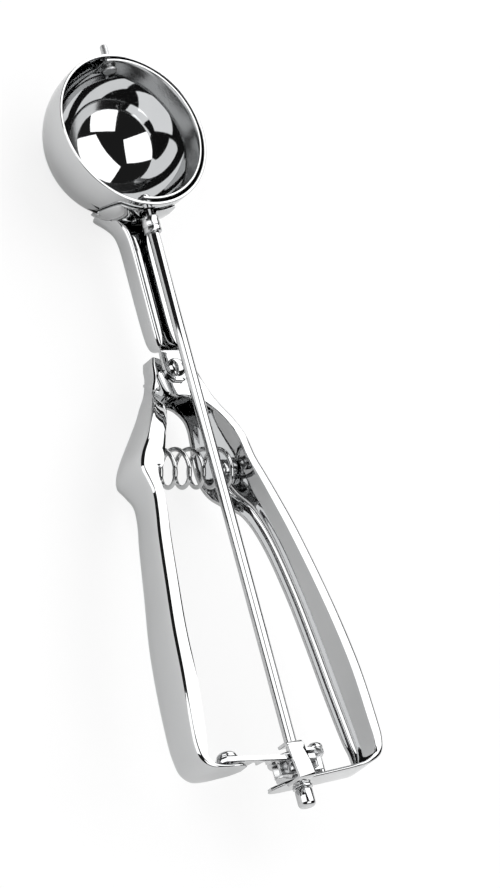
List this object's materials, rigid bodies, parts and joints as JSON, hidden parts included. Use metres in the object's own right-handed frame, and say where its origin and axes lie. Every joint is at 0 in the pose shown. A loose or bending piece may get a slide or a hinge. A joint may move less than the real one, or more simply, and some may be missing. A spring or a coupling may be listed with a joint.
{
  "type": "ice scoop",
  "caption": "Squeeze-handle scoop with a half-ball bowl; squeezing the sprung handles drives a rack and pinion that turns a long rod and sweeps a curved scraper through the bowl.",
  "frame": {"origin": "middle of the bounding box's base; the scoop lies on its back with the bowl's ball on the ground", "axes": "+Y along the rod towards the bowl, +Z out of the bowl's open side, +X towards the fixed handle"},
  "size_m": [0.0574, 0.2146, 0.0315],
  "materials": {
    "bowl": "mirror-polished plate over drawn sheet",
    "scraper": "bright polished strip",
    "rod": "bright drawn and polished",
    "collar": "satin turned",
    "pin": "satin turned",
    "washer": "satin",
    "nut": "polished turned",
    "neck": "mirror-polished plate over stamped sheet",
    "left_handle": "mirror-polished plate over stamped sheet",
    "right_handle": "mirror-polished plate over stamped sheet",
    "rivet": "polished dome",
    "sleeve": "satin turned",
    "stud_left": "satin turned",
    "stud_right": "satin turned",
    "spring": "bright spring wire",
    "pinion": "satin cut teeth",
    "guard": "satin disc",
    "rack": "bright stamped strip",
    "rack_stud": "polished turned",
    "rack_guide": "bright bent strap",
    "guide_screw": "polished turned"
  },
  "bodies": {
    "frame": {"right_handle": "right_handle", "neck": "neck", "bowl": "bowl", "pivot_rivet": "rivet", "right_spring_stud": "stud_right", "rack_guide": "rack_guide", "guide_screw": "guide_screw", "tab_sleeve": "sleeve", "handle_spring": "spring"},
    "left_handle": {"left_handle": "left_handle", "rack": "rack", "rack_stud": "rack_stud", "left_spring_stud": "stud_left"},
    "drive": {"drive_rod": "rod", "rod_collar": "collar", "pinion": "pinion", "pinion_guard": "guard", "scraper": "scraper", "bowl_pin": "pin", "end_washer": "washer", "end_nut": "nut"}
  },
  "joints": [
    {"name": "squeeze_hinge", "type": "hinge", "parent": "frame", "child": "left_handle", "pos_m": [0.0059, 0.01685, 0.012], "axis": [0, 0, 1], "range_deg": [0, 8], "stiffness_Nm_per_rad": 0.8, "springref_deg": -11.46, "deforming": ["handle_spring"]},
    {"name": "drive_spin", "type": "hinge", "parent": "frame", "child": "drive", "pos_m": [0.0059, 0.01685, 0.022], "axis": [0, 1, 0], "range_deg": [0, 166]}
  ],
  "couplings": [
    {"joint": "drive_spin", "follows": "squeeze_hinge", "ratio": 20.68}
  ]
}
